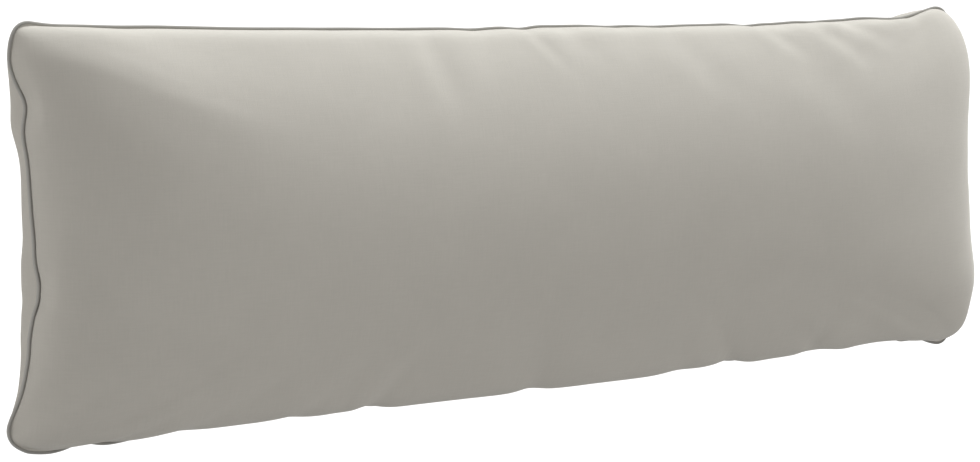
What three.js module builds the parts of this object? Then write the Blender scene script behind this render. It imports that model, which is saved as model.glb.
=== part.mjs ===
// Backrest cushion: a long knife-edge cushion in plain cloth, lying on its back.
// It has two pieces: the filled cover, and the piping that is sewn into the seam all round it.
// Millimetres. +X runs along the cushion, +Y up its face and +Z out of the face.
import * as THREE from "three";

// Driving dimensions
const LENGTH = 1500; // between the end seams, at the corners
const HEIGHT = 500; // between the top and bottom seams, at the corners
const SEAM_LEVEL = 88; // the seam over the surface that the back lies on
const FRONT_CROWN = 115; // the middle of the face over the seam
const BACK_CROWN = 108; // the middle of the back under the seam, before it is pressed flat
const END_RISE = 650; // how far from an end the face reaches its full crown
const TAPER = 0.0075; // the bottom edge is longer than the middle by this share, and the top shorter
const PIPING_RADIUS = 2.1;
const PIECE_GAP = 0.3; // between the piping and the cover
const LIP = 1.2; // half the thickness of the cover where its two panels meet at the seam
const PRESS_SOFTNESS = 10; // how gently the back curves up from the surface it lies on
const DRAW_POWER = 2.5; // how evenly a side's draw-in spreads towards its corners
const SWELL_REACH = 55; // how far from the seam, over the cloth, the panels swell most
const CORNER_HOLD = 12; // how near its corners a side's dips end
const DIP_SPREAD = 70; // how far in from a side its dips reach
const TUCK_SPREAD = 50; // how far from the seam the panels recover from a tuck's pull
const CORNER_REACH = 28; // how far along a side its corner holds back the swell
const CORNER_POWER = 9; // how closely the panels' thinning keeps to the corners
const SIDE_BLEND = 100; // how far along the seam one side turns into the next
const LEAST_HIP = 0.05; // so slight that the sections are as good as multiplied
const HIP_FADE = 4; // how closely the hips end before the corners
const HIP_BLEND = 100; // how far from the middle of the face the upper and lower hips blend
const TINY = 1e-6; // the least height of a section and length of an evening, so that neither is nothing

// Each side: the draw-in at its middle, and how far the front and back panels swell past the seam.
const SIDES = {
  top: { drawIn: 22, frontSwell: 6, backSwell: 4 },
  bottom: { drawIn: 9.5, frontSwell: 5, backSwell: 4 },
  left: { drawIn: 33, frontSwell: 1, backSwell: 6 },
  right: { drawIn: 15, frontSwell: 22, backSwell: 6 },
};

// Each end's section on the front and back panels; a power and a fullness of 2 are an ellipse.
const ENDS = {
  left: { front: { power: 3.6, fullness: 2 }, back: { power: 3, fullness: 2.6 } },
  right: { front: { power: 3.2, fullness: 3.2 }, back: { power: 3.2, fullness: 3.2 } },
};

// The long edges' section: a steep wall by the seam, and a dome over the rest.
const WALL = 40; // the wall's height on the front panel
const WALL_REACH = 5; // how far from the seam the wall turns into the dome
const DOME_POWER = 0.7; // how round the dome is: 0.5 is an ellipse, and 1 is a parabola

// Each corner: its radius, how sharply the front's slopes from its two sides meet, and how much of the swell
// it holds back.
const CORNERS = {
  topLeft: { radius: 31, hip: 5, held: 1 },
  topRight: { radius: 38, hip: 0.1, held: 0.2 },
  bottomRight: { radius: 28, hip: 3, held: 0.6 },
  bottomLeft: { radius: 40, hip: 5, held: 1 },
};

// Long dips in the sides, which the panels follow. at is the place along the side, width the half width
// and drawIn how far the side is pulled in there, or let out where it is negative.
const DIPS = [
  { side: "left", at: 204, width: 24, drawIn: -9 },
  { side: "left", at: 148, width: 38, drawIn: -18 },
  { side: "left", at: -70, width: 35, drawIn: -5 },
  { side: "left", at: -130, width: 60, drawIn: 4 },
  { side: "left", at: -218, width: 26, drawIn: -6 },
  { side: "right", at: 200, width: 60, drawIn: -3 },
  { side: "right", at: 150, width: 50, drawIn: -5 },
  { side: "right", at: 40, width: 80, drawIn: 4 },
  { side: "right", at: -150, width: 75, drawIn: -13 },
  { side: "right", at: -185, width: 32, drawIn: 7 },
  { side: "right", at: -225, width: 22, drawIn: -5 },
  { side: "top", at: -690, width: 60, drawIn: 4 },
  { side: "top", at: -705, width: 30, drawIn: 2 },
  { side: "top", at: -610, width: 40, drawIn: 1.5 },
  { side: "top", at: -560, width: 60, drawIn: -1 },
  { side: "top", at: -330, width: 60, drawIn: -2.5 },
  { side: "top", at: -5, width: 25, drawIn: -1 },
  { side: "top", at: 120, width: 30, drawIn: 2 },
  { side: "top", at: 300, width: 120, drawIn: 5 },
  { side: "top", at: 410, width: 50, drawIn: 4 },
  { side: "top", at: 590, width: 140, drawIn: 13 },
  { side: "top", at: 570, width: 30, drawIn: -2 },
  { side: "top", at: 650, width: 18, drawIn: 2 },
  { side: "top", at: 690, width: 40, drawIn: 2 },
  { side: "bottom", at: -620, width: 60, drawIn: -4 },
  { side: "bottom", at: -450, width: 180, drawIn: 4 },
  { side: "bottom", at: 230, width: 60, drawIn: 2 },
  { side: "bottom", at: 300, width: 60, drawIn: 4 },
  { side: "bottom", at: 580, width: 250, drawIn: 17 },
  { side: "bottom", at: 620, width: 70, drawIn: 3 },
  { side: "bottom", at: 715, width: 30, drawIn: 2 },
];

// Places where a panel swells more past the seam, or less where it is negative. panel is 1 on the front and
// -1 on the back, at is the place along the side and width the half width.
const SWELLS = [
  { panel: 1, side: "top", at: 640, width: 200, swell: 2 },
  { panel: 1, side: "top", at: 640, width: 60, swell: -3 },
  { panel: 1, side: "top", at: 715, width: 40, swell: 8 },
  { panel: 1, side: "bottom", at: -600, width: 120, swell: -2 },
  { panel: 1, side: "right", at: 215, width: 30, swell: 2 },
  { panel: -1, side: "top", at: 700, width: 22, swell: 7 },
  { panel: -1, side: "left", at: 146, width: 32, swell: 10 },
  { panel: -1, side: "left", at: -50, width: 30, swell: 5 },
  { panel: -1, side: "left", at: -185, width: 40, swell: -4 },
];

// Tucks where the seam gathers the cloth. at is the place along the side and width the half width.
// drawIn pulls the seam in, depth is the trough in the panels, which runs reach from the seam,
// and lean is the trough's step along the side for each step away from the seam.
const TUCKS = [
  { side: "left", at: 152, width: 28, drawIn: 19, depth: 4, reach: 110, lean: 0.2 },
  { side: "left", at: 75, width: 45, drawIn: -4, depth: 0, reach: 100, lean: 0 },
  { side: "left", at: -59, width: 28, drawIn: 13, depth: 5, reach: 130, lean: -0.1 },
  { side: "left", at: -100, width: 40, drawIn: 3, depth: 0, reach: 100, lean: 0 },
  { side: "top", at: -331, width: 40, drawIn: 1, depth: 2, reach: 110, lean: 0.1 },
  { side: "top", at: -100, width: 30, drawIn: 2, depth: 4, reach: 160, lean: -0.3 },
  { side: "top", at: -21, width: 22, drawIn: 3, depth: 3, reach: 150, lean: 0.9 },
  { side: "top", at: 192, width: 40, drawIn: 2, depth: 2, reach: 110, lean: 0.2 },
  { side: "top", at: 358, width: 24, drawIn: 3, depth: 4, reach: 150, lean: 0.9 },
  { side: "top", at: 480, width: 26, drawIn: 2, depth: 4, reach: 170, lean: 1.1 },
  { side: "top", at: 628, width: 26, drawIn: 3, depth: 4, reach: 130, lean: 1 },
  { side: "top", at: 680, width: 40, drawIn: 4, depth: 0, reach: 100, lean: 0 },
  { side: "right", at: 60, width: 34, drawIn: 4, depth: 3, reach: 100, lean: 0.1 },
  { side: "right", at: -90, width: 34, drawIn: 4, depth: 2, reach: 110, lean: -0.1 },
  { side: "bottom", at: -698, width: 20, drawIn: -5, depth: 0, reach: 100, lean: 0 },
  { side: "bottom", at: -664, width: 20, drawIn: 6, depth: 5, reach: 120, lean: 0.1 },
  { side: "bottom", at: -612, width: 24, drawIn: -2, depth: 0, reach: 100, lean: 0 },
  { side: "bottom", at: -545, width: 26, drawIn: 2, depth: 4, reach: 140, lean: 0 },
  { side: "bottom", at: -368, width: 24, drawIn: 3, depth: 5, reach: 140, lean: 0.3 },
  { side: "bottom", at: -278, width: 22, drawIn: 4, depth: 9, reach: 160, lean: -0.2 },
  { side: "bottom", at: -24, width: 20, drawIn: 3, depth: 8, reach: 160, lean: -0.2 },
  { side: "bottom", at: 224, width: 26, drawIn: 2, depth: 4, reach: 140, lean: -0.2 },
  { side: "bottom", at: 298, width: 22, drawIn: 4, depth: 7, reach: 150, lean: -0.4 },
  { side: "bottom", at: 455, width: 24, drawIn: 3, depth: 6, reach: 160, lean: -0.1 },
  { side: "bottom", at: 615, width: 34, drawIn: 5, depth: 3, reach: 140, lean: -0.6 },
];

// Steps along the seam, from the middle of the top edge: half the top, then each side and corner in turn.
const LONG_STEPS = 104;
const SHORT_STEPS = 32;
const CORNER_STEPS = 8;
const PIPING_SIDES = 8;

// Rows of the cover from the seam to the spine. angle goes from 0 at the seam to 90 degrees at the crown,
// and stride is how many seam steps lie between two points of the row.
const FRONT_ROWS = [
  { angle: 2.5, stride: 1 },
  { angle: 8, stride: 1 },
  { angle: 15, stride: 1 },
  { angle: 24, stride: 1 },
  { angle: 34, stride: 2 },
  { angle: 45, stride: 2 },
  { angle: 56, stride: 2 },
  { angle: 68, stride: 4 },
  { angle: 80, stride: 4 },
];
const BACK_ROWS = [
  { angle: 3, stride: 1 },
  { angle: 10, stride: 1 },
  { angle: 19, stride: 1 },
  { angle: 29, stride: 2 },
  { angle: 39, stride: 2 },
  { angle: 50, stride: 2 },
  { angle: 66, stride: 4 },
];
const SPINE_STRIDE = 4;
const ROW_FULLNESS = 2.4; // spaces the rows as on an evenly stepped section of this fullness
const EVENING_REACH = 3; // how many times its own length the evening along the seam looks to either side

// Derived sizes
const HALF_LENGTH = LENGTH / 2;
const HALF_HEIGHT = HEIGHT / 2;
const SPINE_HALF = HALF_LENGTH - END_RISE; // the crown's level line, from the middle to either end
const RIM_OFFSET = PIPING_RADIUS + PIECE_GAP;
const SEAM_STEPS = 2 * (LONG_STEPS + SHORT_STEPS) + 4 * CORNER_STEPS;
const STEP_LENGTH = LENGTH / LONG_STEPS;
const UP = new THREE.Vector3(0, 0, 1);
const { clamp, degToRad, lerp, smoothstep } = THREE.MathUtils;

// A curve that steps from point to point, so that the piping and the cover share their steps.
class SeamCurve extends THREE.CatmullRomCurve3 {
  getUtoTmapping(u) {
    return u;
  }
}

// How much of a point on the seam belongs to each side, adding up to 1.
function sideShares(x, y) {
  const fromEnd = HALF_LENGTH - Math.abs(x);
  const fromEdge = HALF_HEIGHT - Math.abs(y);
  const end = smoothstep((fromEdge - fromEnd) / SIDE_BLEND, -1, 1);
  return {
    left: x < 0 ? end : 0,
    right: x < 0 ? 0 : end,
    bottom: y < 0 ? 1 - end : 0,
    top: y < 0 ? 0 : 1 - end,
  };
}

// A side's property at a point on the seam, blended between the two sides that meet near a corner.
function blended(shares, property) {
  return Object.keys(SIDES).reduce((sum, side) => sum + shares[side] * SIDES[side][property], 0);
}

// A rounded hump along a side: 1 at a row's place, and nothing a few widths away.
function hump(row, along) {
  const offset = (along - row.at) / row.width;
  return Math.exp(-offset * offset);
}

// How strongly a tuck acts at a point of the seam, on the cloth that lies away from it by distance.
function tuckShare(tuck, point, distance) {
  const along = tuck.side === "top" || tuck.side === "bottom" ? point.x : point.y;
  return sideShares(point.x, point.y)[tuck.side] * hump(tuck, along - tuck.lean * distance);
}

// How far a point of the flat panels is drawn in by a side. toward is 1 at the side and 0 at the opposite
// one, and share is the place along the side from -1 at one corner to 1 at the other.
function sideDraw(side, point, toward, share) {
  const lengthwise = side === "top" || side === "bottom";
  const along = lengthwise ? point.x : point.y;
  const fromSide = (1 - toward) * (lengthwise ? HEIGHT : LENGTH);
  const dips = DIPS.filter((dip) => dip.side === side);
  const held = 1 - Math.abs(share) ** CORNER_HOLD;
  const dipped = dips.reduce((sum, dip) => sum + dip.drawIn * hump(dip, along), 0);
  const even = toward * SIDES[side].drawIn * (1 - Math.abs(share) ** DRAW_POWER);
  return even + Math.exp(-fromSide / DIP_SPREAD) * held * dipped;
}

// The outline that the two panels are cut to, as the seam's steps: a rectangle with rounded corners.
function cutPoints() {
  const quarter = Math.PI / 2;
  const path = new THREE.Path();
  const arc = ({ radius }, signX, signY, start) => {
    const [x, y] = [signX * (HALF_LENGTH - radius), signY * (HALF_HEIGHT - radius)];
    path.absarc(x, y, radius, start, start - quarter, true);
  };
  path.moveTo(0, HALF_HEIGHT);
  path.lineTo(HALF_LENGTH - CORNERS.topRight.radius, HALF_HEIGHT);
  arc(CORNERS.topRight, 1, 1, quarter);
  arc(CORNERS.bottomRight, 1, -1, 0);
  arc(CORNERS.bottomLeft, -1, -1, -quarter);
  arc(CORNERS.topLeft, -1, 1, 2 * quarter);
  path.closePath();
  const [half, corner] = [LONG_STEPS / 2, CORNER_STEPS];
  const steps = [half, corner, SHORT_STEPS, corner, LONG_STEPS, corner, SHORT_STEPS, corner, half];
  return path.curves.flatMap((curve, k) => curve.getSpacedPoints(steps[k]).slice(0, -1));
}

// Where a point of the flat panels goes in plan once the filling draws the sides in.
function drawnIn(point) {
  const alongLength = point.x / HALF_LENGTH;
  const alongHeight = point.y / HALF_HEIGHT;
  const left = sideDraw("left", point, (1 - alongLength) / 2, alongHeight);
  const right = sideDraw("right", point, (1 + alongLength) / 2, alongHeight);
  const bottom = sideDraw("bottom", point, (1 - alongHeight) / 2, alongLength);
  const top = sideDraw("top", point, (1 + alongHeight) / 2, alongLength);
  return new THREE.Vector3(
    (point.x - alongLength * (left + right)) * (1 - TAPER * alongHeight),
    point.y - alongHeight * (bottom + top),
    SEAM_LEVEL,
  );
}

// Where the tucks pull the seam at a point of the cut outline.
function tuckedIn(point) {
  const pulled = drawnIn(point);
  for (const tuck of TUCKS) {
    const pull = tuck.drawIn * tuckShare(tuck, point, 0);
    if (tuck.side === "left" || tuck.side === "right") pulled.x -= Math.sign(point.x) * pull;
    else pulled.y -= Math.sign(point.y) * pull;
  }
  return pulled;
}

// The corner that a point of the flat panels is nearest to.
function cornerNear(x, y) {
  return CORNERS[(y < 0 ? "bottom" : "top") + (x < 0 ? "Left" : "Right")];
}

// How far and which way a panel swells past the seam at a point of it, in plan.
function swellAt(cut, outward, panel) {
  const shares = sideShares(cut.x, cut.y);
  const fromCorner = Math.max(HALF_LENGTH - Math.abs(cut.x), HALF_HEIGHT - Math.abs(cut.y));
  const held = cornerNear(cut.x, cut.y).held * (1 - smoothstep(fromCorner, 0, CORNER_REACH));
  const more = SWELLS.filter((row) => row.panel === panel).reduce((sum, row) => {
    const along = row.side === "top" || row.side === "bottom" ? cut.x : cut.y;
    return sum + row.swell * shares[row.side] * hump(row, along);
  }, 0);
  const even = blended(shares, panel > 0 ? "frontSwell" : "backSwell");
  return outward.clone().multiplyScalar((1 - held) * (even + more));
}

// The seam's stations: the flat panels' points at the seam and on the spine that the section runs to,
// the cover's rim, and the way out of the cushion.
function seamStations(seam, cuts) {
  const halfRound = SEAM_STEPS / 2;
  const spineSteps = SPINE_STRIDE * Math.round(SPINE_HALF / STEP_LENGTH / SPINE_STRIDE);
  return cuts.map((cut, step) => {
    const at = step / SEAM_STEPS;
    const outward = new THREE.Vector3().crossVectors(UP, seam.getTangent(at)).normalize();
    const fromTop = step <= halfRound ? step : SEAM_STEPS - step;
    const alongSpine = Math.min(fromTop, halfRound - fromTop, spineSteps) / spineSteps;
    return {
      cut,
      spine: new THREE.Vector2((step <= halfRound ? 1 : -1) * SPINE_HALF * alongSpine, 0),
      rim: seam.getPoint(at).addScaledVector(outward, -RIM_OFFSET),
      outward,
    };
  });
}

// How far out a point of the flat panels lies towards the nearer end and the nearer long edge, from 0 to 1.
function outShares(x, y) {
  return {
    end: clamp((Math.abs(x) - SPINE_HALF) / END_RISE, 0, 1),
    edge: clamp(Math.abs(y) / HALF_HEIGHT, 0, 1),
  };
}

// The height of a panel's lengthwise section: 1 from the spine's ends inwards, and 0 at the cushion's ends.
function endSection(x, y, panel) {
  const { power, fullness } = ENDS[x < 0 ? "left" : "right"][panel > 0 ? "front" : "back"];
  return (1 - outShares(x, y).end ** power) ** (1 / fullness);
}

// The height of the upright section: 1 on the spine and 0 at the long edges.
function edgeSection(x, y) {
  const share = outShares(x, y).edge;
  const wall = 1 - Math.exp((-HALF_HEIGHT * (1 - share)) / WALL_REACH);
  return lerp((1 - share * share) ** DOME_POWER, wall, WALL / FRONT_CROWN);
}

// How much of a corner a point of the flat panels has: 1 at the plain rectangle's corners, 0 on the spine.
function cornerShare(x, y) {
  const out = outShares(x, y);
  return out.end * out.edge;
}

// How sharply the end and edge sections meet at a point of a flat panel.
function hipAt(x, y, panel) {
  if (panel < 0) return LEAST_HIP;
  const upper = smoothstep(y, -HIP_BLEND, HIP_BLEND);
  const hip = lerp(cornerNear(x, -1).hip, cornerNear(x, 1).hip, upper);
  return Math.max(LEAST_HIP, hip * (1 - cornerShare(x, y) ** HIP_FADE));
}

// A panel's two sections through a point of it, joined: 1 on the spine, 0 on the plain rectangle.
function sectionsJoined(x, y, panel) {
  const end = Math.max(TINY, endSection(x, y, panel));
  const edge = Math.max(TINY, edgeSection(x, y));
  const hip = hipAt(x, y, panel);
  return (end ** -hip + edge ** -hip - 1) ** (-1 / hip);
}

// How high a point of a flat panel stands on the crown: 1 on the spine and 0 at the seam. What the sections
// would still have at the rounded corners comes off there, so that the panels meet on their outline.
function crownShare(point, panel) {
  const inset = cornerNear(point.x, point.y).radius * (1 - Math.SQRT1_2);
  const tipX = (point.x < 0 ? -1 : 1) * (HALF_LENGTH - inset);
  const tipY = (point.y < 0 ? -1 : 1) * (HALF_HEIGHT - inset);
  const nearTip = (cornerShare(point.x, point.y) / cornerShare(tipX, tipY)) ** CORNER_POWER;
  const drop = sectionsJoined(tipX, tipY, panel) * nearTip;
  return Math.max(0, sectionsJoined(point.x, point.y, panel) - drop);
}

// A height that never goes below the surface, and leaves it in a soft curve.
function pressedFlat(height) {
  if (height >= PRESS_SOFTNESS) return height;
  const soft = Math.max(height + PRESS_SOFTNESS, 0);
  return (soft * soft) / (4 * PRESS_SOFTNESS);
}

// How much of its swell a panel has at a distance from the seam: none by the piping, most at the swell's
// reach, then less and less.
function swellShare(distance) {
  const reach = Math.max(0, distance - PIPING_RADIUS) / SWELL_REACH;
  return reach * Math.exp((1 - reach * reach) / 2);
}

// Values round the seam, evened out along it over a number of steps.
function evened(values, steps) {
  const reach = Math.min(Math.ceil(EVENING_REACH * steps), SEAM_STEPS / 2);
  const offsets = Array.from({ length: 2 * reach + 1 }, (_, k) => k - reach);
  const weights = offsets.map((offset) => Math.exp(-((offset / Math.max(steps, TINY)) ** 2) / 2));
  const total = weights.reduce((sum, weight) => sum + weight, 0);
  return values.map((_, at) => {
    const near = offsets.map((offset) => values[(at + offset + SEAM_STEPS) % SEAM_STEPS]);
    return near.reduce((sum, value, k) => sum + (value * weights[k]) / total, 0);
  });
}

// The cover's points on one row of a panel, one for each station. panel is 1 on the front and -1 on the back.
function coverRow(stations, angle, panel) {
  const crown = panel > 0 ? FRONT_CROWN : BACK_CROWN;
  const away = clamp(Math.cos(angle), 0, 1) ** (2 / ROW_FULLNESS);
  const flats = stations.map(({ spine, cut }) => spine.clone().lerp(cut, away));
  const fullRises = flats.map((flat) => crownShare(flat, panel));
  const distanceAt = (k, rise) => Math.hypot(flats[k].distanceTo(stations[k].cut), rise * crown);
  const meanDistance = fullRises.reduce((sum, rise, k) => sum + distanceAt(k, rise), 0) / SEAM_STEPS;
  const evenSteps = meanDistance / STEP_LENGTH;
  const rimRises = evened(stations.map(({ cut }) => crownShare(cut, panel)), evenSteps);
  const swells = stations.map(({ cut, outward }) => swellAt(cut, outward, panel));
  const swellX = evened(swells.map((swell) => swell.x), evenSteps);
  const swellY = evened(swells.map((swell) => swell.y), evenSteps);

  return stations.map((station, k) => {
    const rise = Math.max(0, fullRises[k] - rimRises[k] * away ** CORNER_POWER);
    const distance = distanceAt(k, rise);
    const hold = 1 - smoothstep(distance, 2 * PIPING_RADIUS, TUCK_SPREAD);
    const point = drawnIn(flats[k]);
    point.addScaledVector(station.rim.clone().sub(drawnIn(station.cut)), hold);

    const trough = TUCKS.reduce((sum, tuck) => {
      const fade = Math.max(0, 1 - distance / tuck.reach) ** 2;
      return sum + tuck.depth * fade * tuckShare(tuck, station.cut, distance);
    }, 0);
    const dip = trough * (1 - hold);
    const swell = new THREE.Vector3(swellX[k], swellY[k], 0);
    point.addScaledVector(swell, away * swellShare(distance));
    point.addScaledVector(station.outward, -dip * away);
    point.z += panel * (LIP + (crown - LIP) * rise - dip * Math.sqrt(1 - away * away));
    if (panel < 0) point.z = pressedFlat(point.z);
    return point;
  });
}

// The filled cover: one closed surface from the front's spine over the seam to the back's spine.
function coverGeometry(stations) {
  const positions = [];
  const triangles = [];
  const known = new Map();

  function vertex(point) {
    const key = point.toArray().map((value) => value.toFixed(3)).join();
    if (!known.has(key)) {
      known.set(key, known.size);
      positions.push(...point);
    }
    return known.get(key);
  }

  function triangle(a, b, c) {
    if (a !== b && b !== c && c !== a) triangles.push(a, b, c);
  }

  function row(angle, stride, panel) {
    const points = coverRow(stations, degToRad(angle), panel);
    return points.filter((_, step) => step % stride === 0).map(vertex);
  }

  // Joins two rows, the first nearer the front's spine. One may have twice as many points as the other.
  function join(upper, lower) {
    const count = Math.min(upper.length, lower.length);
    const upperRate = upper.length / count;
    const lowerRate = lower.length / count;
    for (let k = 0; k < count; k += 1) {
      const upperRun = [upper[k * upperRate], upper[((k + 1) * upperRate) % upper.length]];
      const lowerRun = [lower[k * lowerRate], lower[((k + 1) * lowerRate) % lower.length]];
      if (upperRate === 2) {
        const middle = upper[k * 2 + 1];
        triangle(upperRun[0], middle, lowerRun[0]);
        triangle(lowerRun[0], middle, lowerRun[1]);
        triangle(middle, upperRun[1], lowerRun[1]);
      } else if (lowerRate === 2) {
        const middle = lower[k * 2 + 1];
        triangle(lowerRun[0], upperRun[0], middle);
        triangle(middle, upperRun[0], upperRun[1]);
        triangle(middle, upperRun[1], lowerRun[1]);
      } else {
        triangle(lowerRun[0], upperRun[0], lowerRun[1]);
        triangle(lowerRun[1], upperRun[0], upperRun[1]);
      }
    }
  }

  const rows = [
    row(90, SPINE_STRIDE, 1),
    ...FRONT_ROWS.toReversed().map(({ angle, stride }) => row(angle, stride, 1)),
    row(0, 1, 1),
    row(0, 1, -1),
    ...BACK_ROWS.map(({ angle, stride }) => row(angle, stride, -1)),
    row(90, SPINE_STRIDE, -1),
  ];
  for (let k = 1; k < rows.length; k += 1) join(rows[k - 1], rows[k]);

  const geometry = new THREE.BufferGeometry();
  geometry.setAttribute("position", new THREE.Float32BufferAttribute(positions, 3));
  geometry.setIndex(triangles);
  geometry.computeVertexNormals();
  return geometry;
}

// The piping: a cord in a strip of the same cloth, closed into one loop along the seam.
function pipingGeometry(seam) {
  return new THREE.TubeGeometry(seam, SEAM_STEPS, PIPING_RADIUS, PIPING_SIDES, true);
}

function namedMesh(name, geometry, color) {
  const material = new THREE.MeshStandardMaterial({ color, roughness: 0.9, metalness: 0 });
  const mesh = new THREE.Mesh(geometry, material);
  mesh.name = name;
  return mesh;
}

const cuts = cutPoints();
const seam = new SeamCurve(cuts.map(tuckedIn), true);
const cushion = new THREE.Group();
cushion.add(namedMesh("cushion", coverGeometry(seamStations(seam, cuts)), 0xb5b1a9));
cushion.add(namedMesh("piping", pipingGeometry(seam), 0x9f9d98));

// The origin is under the middle of the cushion, on the surface that it lies on.
const extent = new THREE.Box3().setFromObject(cushion, true);
const middle = extent.getCenter(new THREE.Vector3());
cushion.position.set(-middle.x, -middle.y, -extent.min.z);

const part = new THREE.Group();
part.add(cushion);
export default part;
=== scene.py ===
"""Backrest cushion in plain upholstery cloth, lying on its back on a pale floor.

The cover's panels follow the sizes of the solids at finer steps, a cloth simulation fills them, and the
seam's puckers come last. Sizes are in millimetres until a mesh is made, and angles in degrees.
+X runs along the cushion, +Y up its face and +Z out of the face.
"""
import math

import bpy
import numpy as np
from mathutils import Matrix, Vector


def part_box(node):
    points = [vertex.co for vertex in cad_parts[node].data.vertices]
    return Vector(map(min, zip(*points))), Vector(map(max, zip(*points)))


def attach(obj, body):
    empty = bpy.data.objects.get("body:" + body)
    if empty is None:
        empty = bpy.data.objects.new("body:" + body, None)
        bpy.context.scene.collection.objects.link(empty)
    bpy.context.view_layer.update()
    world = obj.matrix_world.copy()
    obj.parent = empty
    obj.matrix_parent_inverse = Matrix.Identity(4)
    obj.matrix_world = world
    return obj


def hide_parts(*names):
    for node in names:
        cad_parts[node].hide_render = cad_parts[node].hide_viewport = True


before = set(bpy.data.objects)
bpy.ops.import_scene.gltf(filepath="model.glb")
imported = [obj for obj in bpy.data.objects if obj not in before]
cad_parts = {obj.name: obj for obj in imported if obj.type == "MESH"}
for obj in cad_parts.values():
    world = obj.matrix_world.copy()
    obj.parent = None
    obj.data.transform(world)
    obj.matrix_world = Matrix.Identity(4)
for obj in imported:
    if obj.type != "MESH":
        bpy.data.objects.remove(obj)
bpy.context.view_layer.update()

MM = 0.001
FRONT, BACK = 1, -1  # the panels, by the sign of their height over the seam
LONG_SIDES = ("top", "bottom")

# Driving dimensions
LENGTH = 1500  # between the end seams, at the corners
HEIGHT = 500  # between the top and bottom seams, at the corners
SEAM_LEVEL = 88  # the seam over the floor
FRONT_CROWN = 115  # the middle of the face over the seam
BACK_CROWN = 108  # the middle of the back under the seam, before it is pressed flat
END_RISE = 650  # how far from an end the face reaches its full crown
TAPER = 0.0075  # the bottom edge is longer than the middle by this share, and the top shorter
PIPING_RADIUS = 2.1
FLANGE = 0.4  # how far the cover reaches into the piping, where the two are sewn together
LIP = 1.2  # half the thickness of the cover where its two panels meet at the seam
PRESS_SOFTNESS = 10  # how gently the back curves up from the floor
DRAW_POWER = 2.5  # how evenly a side's draw-in spreads towards its corners
SWELL_REACH = 55  # how far from the seam, over the cloth, the panels swell most
CORNER_HOLD = 12  # how near its corners a side's dips end
DIP_SPREAD = 70  # how far in from a side its dips reach
TUCK_SPREAD = 50  # how far from the seam the panels recover from a tuck's pull
CORNER_REACH = 28  # how far along a side its corner holds back the swell
CORNER_POWER = 9  # how closely the panels' thinning keeps to the corners
SIDE_BLEND = 100  # how far along the seam one side turns into the next
LEAST_HIP = 0.05  # so slight that the sections are as good as multiplied
HIP_FADE = 4  # how closely the hips end before the corners
TINY = 1e-6

# Each side: the draw-in at its middle, and how far the front and back panels swell past the seam
SIDES = {
    "top": {"draw_in": 22, "front_swell": 4.8, "back_swell": 4},
    "bottom": {"draw_in": 9.5, "front_swell": 5, "back_swell": 4},
    "left": {"draw_in": 33, "front_swell": 1, "back_swell": 6},
    "right": {"draw_in": 15, "front_swell": 22, "back_swell": 6},
}

# Each end's section: the power and the fullness of its curve on the front and back panels,
# where 2 and 2 are an ellipse
ENDS = {
    "left": {FRONT: (3.6, 2.0), BACK: (3.0, 2.6)},
    "right": {FRONT: (3.2, 3.2), BACK: (3.2, 3.2)},
}

# The long edges' section: a steep wall by the seam, and a dome over the rest
TOP_WALL = 43  # the wall's height on the front panel
BOTTOM_WALL = 40
TOP_REACH = 4  # how far from the seam the wall turns into the dome
BOTTOM_REACH = 5
TOP_STRAIGHT = 0.85  # from this share of the way to the top seam, the dome runs straight
WALL_DROP = {"at": -560, "width": 110, "drop": 7}  # where the wall by the top seam is lower
DOME_POWER = 0.7  # how round the dome is: 0.5 is an ellipse, and 1 is a parabola

# Each corner, by the signs of its x and y, clockwise: its radius, how sharply the slopes from
# its two sides meet, how much of the swell it holds back, and its share of the filling's folds
CORNERS = {
    (-1, 1): {"radius": 31, "hip": 5, "held": 1, "folds": 0.1},
    (1, 1): {"radius": 38, "hip": 0.1, "held": 0.2, "folds": 0.1},
    (1, -1): {"radius": 28, "hip": 3, "held": 0.6, "folds": 0.4},
    (-1, -1): {"radius": 34, "hip": 5, "held": 1, "folds": 0.6},
}
CORNER_BLEND = 100  # how far from the middle of the face the corners' values blend

# Long dips in the sides, which the panels follow: the side, the place along it, the half width,
# and how far the side is pulled in there, or let out where it is negative
DIP_COLUMNS = ("side", "at", "width", "draw_in")
DIPS = [dict(zip(DIP_COLUMNS, row)) for row in (
    ("left", 204, 24, -9),
    ("left", 172, 18, -2.5),
    ("left", 148, 38, -18),
    ("left", 75, 45, 1.5),
    ("left", -8, 25, 2.8),
    ("left", -70, 35, -5),
    ("left", -78, 12, 2),
    ("left", -118, 18, -2.5),
    ("left", -130, 60, 4),
    ("left", -188, 30, 1.8),
    ("left", -218, 26, -6),
    ("right", 200, 60, -3),
    ("right", 150, 50, -5),
    ("right", 40, 80, 4),
    ("right", 10, 30, 1.5),
    ("right", -110, 45, 3),
    ("right", -150, 75, -13),
    ("right", -185, 32, 7),
    ("right", -225, 22, -2),
    ("top", -705, 30, 2),
    ("top", -690, 60, 4),
    ("top", -610, 40, 1.5),
    ("top", -330, 60, -1.5),
    ("top", -5, 25, -1),
    ("top", 120, 30, 2),
    ("top", 300, 120, 5),
    ("top", 410, 50, 4),
    ("top", 570, 30, -2),
    ("top", 590, 140, 13),
    ("top", 650, 18, 2),
    ("top", 690, 40, 2),
    ("bottom", -620, 60, -4),
    ("bottom", -450, 180, 2.8),
    ("bottom", 230, 60, 2),
    ("bottom", 300, 60, 4),
    ("bottom", 338, 26, -2),
    ("bottom", 505, 18, -2),
    ("bottom", 580, 250, 17),
    ("bottom", 620, 70, 3),
    ("bottom", 715, 30, 2),
)]

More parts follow.
